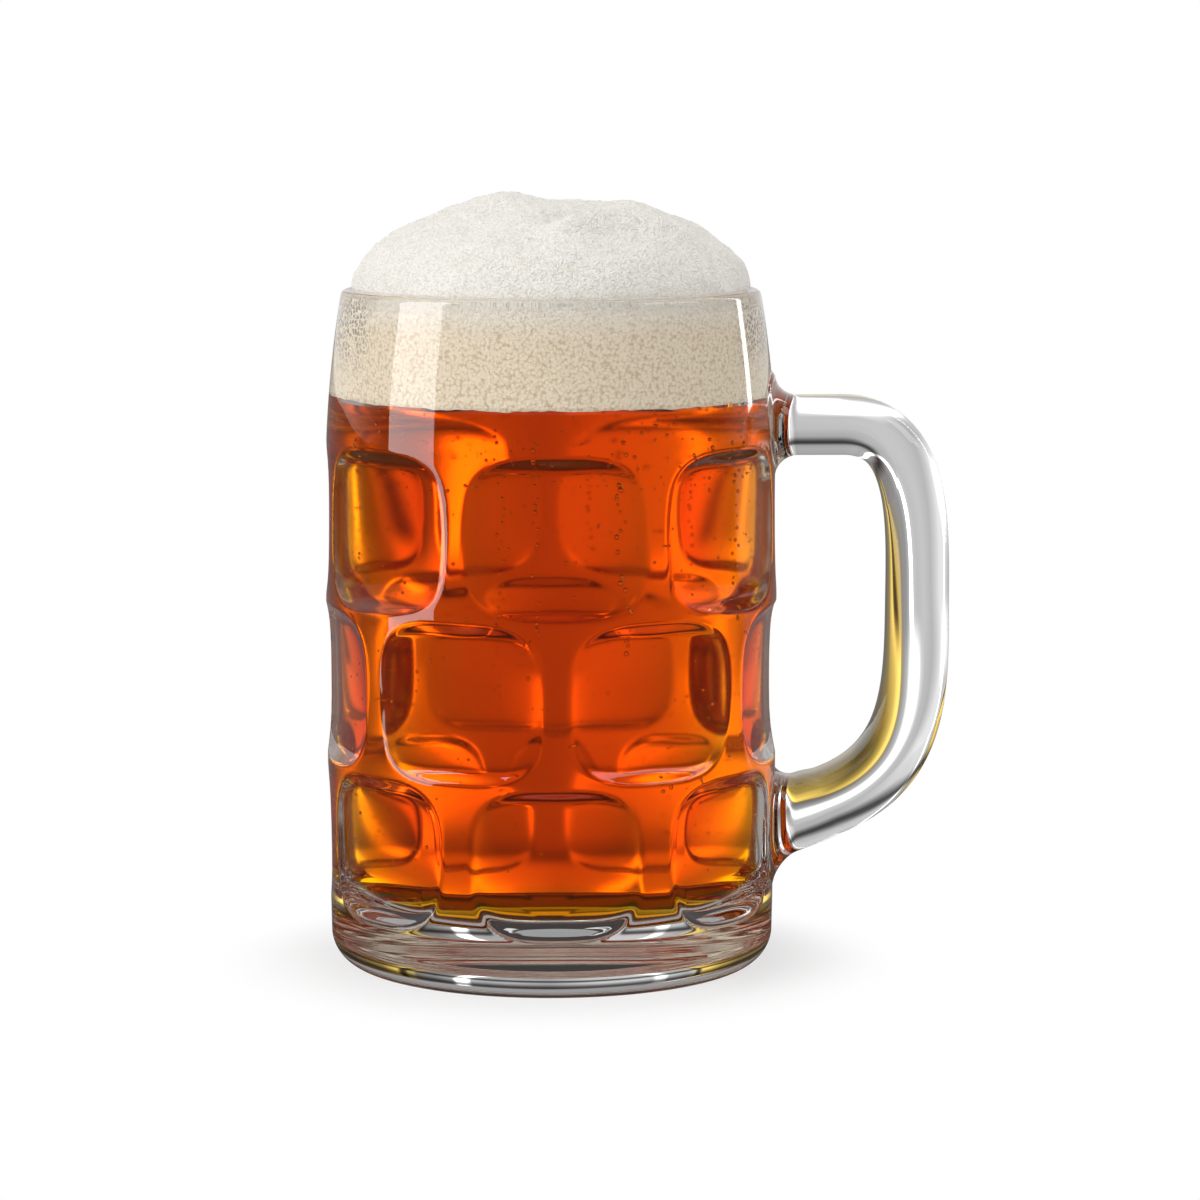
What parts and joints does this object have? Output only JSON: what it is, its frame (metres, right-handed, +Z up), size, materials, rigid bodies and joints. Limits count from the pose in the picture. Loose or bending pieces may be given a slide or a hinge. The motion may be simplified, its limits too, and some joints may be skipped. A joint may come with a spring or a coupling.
{
  "type": "beer mug",
  "caption": "Thick-walled glass beer mug with three rows of pressed dimples and a side handle, filled with amber beer under a dome of foam.",
  "frame": {"origin": "middle of the flat base, on the mug's axis", "axes": "+Z up along the mug's axis, +X toward the handle"},
  "size_m": [0.1307, 0.0944, 0.1616],
  "materials": {
    "clear_glass": "fire-polished clear soda-lime glass",
    "beer": "clear amber liquid",
    "foam": "matt cream foam of fine bubbles"
  },
  "bodies": {
    "root": {"glass_body": "clear_glass", "handle": "clear_glass", "beer": "beer", "foam_head": "foam"}
  },
  "joints": []
}
